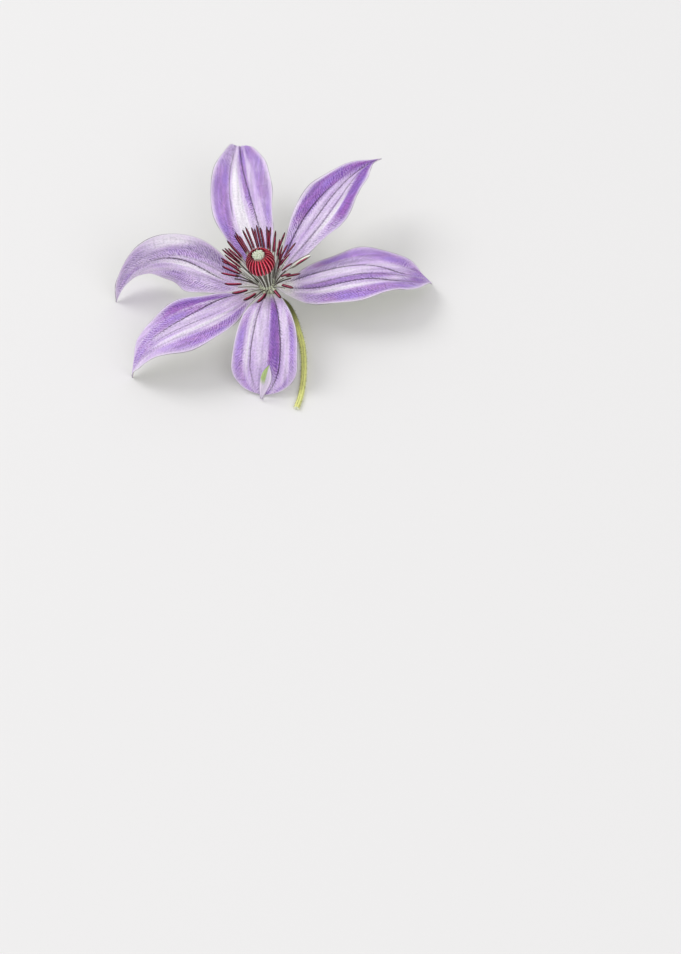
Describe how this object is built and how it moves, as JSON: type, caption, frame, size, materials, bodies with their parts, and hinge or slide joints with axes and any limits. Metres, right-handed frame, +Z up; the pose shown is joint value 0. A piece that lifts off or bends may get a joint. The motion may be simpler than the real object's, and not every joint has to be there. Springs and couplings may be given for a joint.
{
  "type": "clematis flower",
  "caption": "Cut clematis flower lying face up: pointed, veined lilac sepals round a ribbed crimson stamen barrel with pistils, on a short bent stalk.",
  "frame": {"origin": "on the table, under the middle of the flower's outline", "axes": "+Z up from the table, face of the flower up; +X right across the flower, its widest way; +Y from the stalk's cut end towards the sepal at the back"},
  "size_m": [0.1421, 0.1308, 0.0417],
  "materials": {
    "stalk": "matt, finely hairy plant stalk, yellow green",
    "sepal": "soft satin sepal, lilac with a pale band and darker veins above, yellow-green bar below",
    "outer_stamens": "matt maroon anthers on pale green-white filaments",
    "inner_stamens": "satin crimson anthers on pale filaments",
    "pistils": "matt pale green styles"
  },
  "bodies": {
    "root": {"peduncle": "stalk", "sepal_1": "sepal", "sepal_2": "sepal", "sepal_3": "sepal", "sepal_4": "sepal", "sepal_5": "sepal", "sepal_6": "sepal", "outer_stamens": "outer_stamens", "inner_stamens": "inner_stamens", "pistils": "pistils"}
  },
  "joints": []
}
